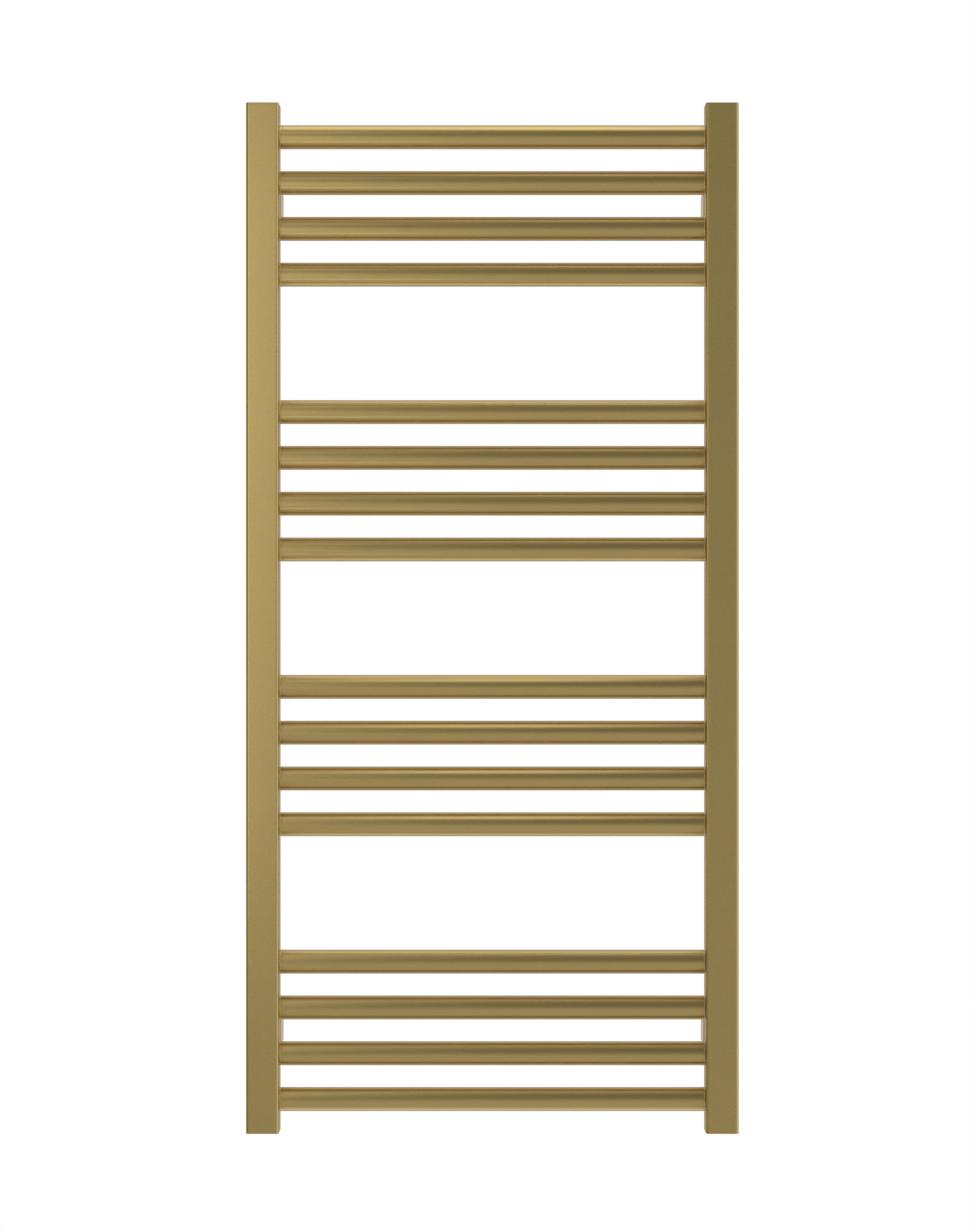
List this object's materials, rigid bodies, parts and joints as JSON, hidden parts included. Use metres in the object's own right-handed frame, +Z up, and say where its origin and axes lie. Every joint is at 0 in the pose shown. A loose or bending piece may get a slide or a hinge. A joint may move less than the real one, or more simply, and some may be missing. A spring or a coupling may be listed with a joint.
{
  "type": "towel warmer rack",
  "caption": "Wall-hung ladder towel warmer: rectangular uprights, grouped round bars, telescopic wall brackets, bottom inlets and a rear air vent.",
  "frame": {"origin": "on the wall, at the centre of the four wall sleeves' back faces", "axes": "+X to the right seen from the front, +Y into the wall, +Z up"},
  "size_m": [0.45, 0.105, 0.942],
  "materials": {
    "brushed_brass_finish": "steel with a satin brushed brass plating",
    "sleeve_finish": "satin brass plating, a little paler than the rail",
    "turned_brass": "turned, satin",
    "zinc_plated_steel": "zinc plated",
    "black_steel": "black oxide",
    "seal_rubber": "matt"
  },
  "bodies": {
    "wall_sleeves": {"wall_sleeve_top_left": "sleeve_finish", "wall_sleeve_top_right": "sleeve_finish", "wall_sleeve_bottom_left": "sleeve_finish", "wall_sleeve_bottom_right": "sleeve_finish"},
    "rail": {"collector_left": "brushed_brass_finish", "end_cap_top_left": "brushed_brass_finish", "end_cap_bottom_left": "brushed_brass_finish", "inlet_socket_left": "zinc_plated_steel", "collector_right": "brushed_brass_finish", "end_cap_top_right": "brushed_brass_finish", "end_cap_bottom_right": "brushed_brass_finish", "inlet_socket_right": "zinc_plated_steel", "bar_01": "brushed_brass_finish", "bar_02": "brushed_brass_finish", "bar_03": "brushed_brass_finish", "bar_04": "brushed_brass_finish", "bar_05": "brushed_brass_finish", "bar_06": "brushed_brass_finish", "bar_07": "brushed_brass_finish", "bar_08": "brushed_brass_finish", "bar_09": "brushed_brass_finish", "bar_10": "brushed_brass_finish", "bar_11": "brushed_brass_finish", "bar_12": "brushed_brass_finish", "bar_13": "brushed_brass_finish", "bar_14": "brushed_brass_finish", "bar_15": "brushed_brass_finish", "bar_16": "brushed_brass_finish", "vent_plug": "turned_brass", "blanking_plug": "turned_brass", "vent_washer": "seal_rubber", "blanking_washer": "seal_rubber", "bracket_boss_top_left": "zinc_plated_steel", "bracket_spigot_top_left": "zinc_plated_steel", "spigot_screw_top_left": "zinc_plated_steel", "bracket_boss_top_right": "zinc_plated_steel", "bracket_spigot_top_right": "zinc_plated_steel", "spigot_screw_top_right": "zinc_plated_steel", "bracket_boss_bottom_left": "zinc_plated_steel", "bracket_spigot_bottom_left": "zinc_plated_steel", "spigot_screw_bottom_left": "zinc_plated_steel", "bracket_boss_bottom_right": "zinc_plated_steel", "bracket_spigot_bottom_right": "zinc_plated_steel", "spigot_screw_bottom_right": "zinc_plated_steel"},
    "vent_spindle": {"vent_spindle": "turned_brass"},
    "set_screw_top_left": {"set_screw_top_left": "black_steel"},
    "set_screw_top_right": {"set_screw_top_right": "black_steel"},
    "set_screw_bottom_left": {"set_screw_bottom_left": "black_steel"},
    "set_screw_bottom_right": {"set_screw_bottom_right": "black_steel"}
  },
  "joints": [
    {"name": "depth_adjust", "type": "slide", "parent": "wall_sleeves", "child": "rail", "axis": [0, 1, 0], "range_m": [-0.01, 0.01]},
    {"name": "vent_turn", "type": "hinge", "parent": "rail", "child": "vent_spindle", "pos_m": [0.21, -0.065, 0.449], "axis": [0, 1, 0], "range_deg": [0, 360]},
    {"name": "set_screw_top_left_turn", "type": "hinge", "parent": "wall_sleeves", "child": "set_screw_top_left", "pos_m": [-0.21, -0.04, 0.3605], "axis": [0, 0, -1], "range_deg": [0, 360]},
    {"name": "set_screw_top_right_turn", "type": "hinge", "parent": "wall_sleeves", "child": "set_screw_top_right", "pos_m": [0.21, -0.04, 0.3605], "axis": [0, 0, -1], "range_deg": [0, 360]},
    {"name": "set_screw_bottom_left_turn", "type": "hinge", "parent": "wall_sleeves", "child": "set_screw_bottom_left", "pos_m": [-0.21, -0.04, -0.3955], "axis": [0, 0, -1], "range_deg": [0, 360]},
    {"name": "set_screw_bottom_right_turn", "type": "hinge", "parent": "wall_sleeves", "child": "set_screw_bottom_right", "pos_m": [0.21, -0.04, -0.3955], "axis": [0, 0, -1], "range_deg": [0, 360]}
  ]
}
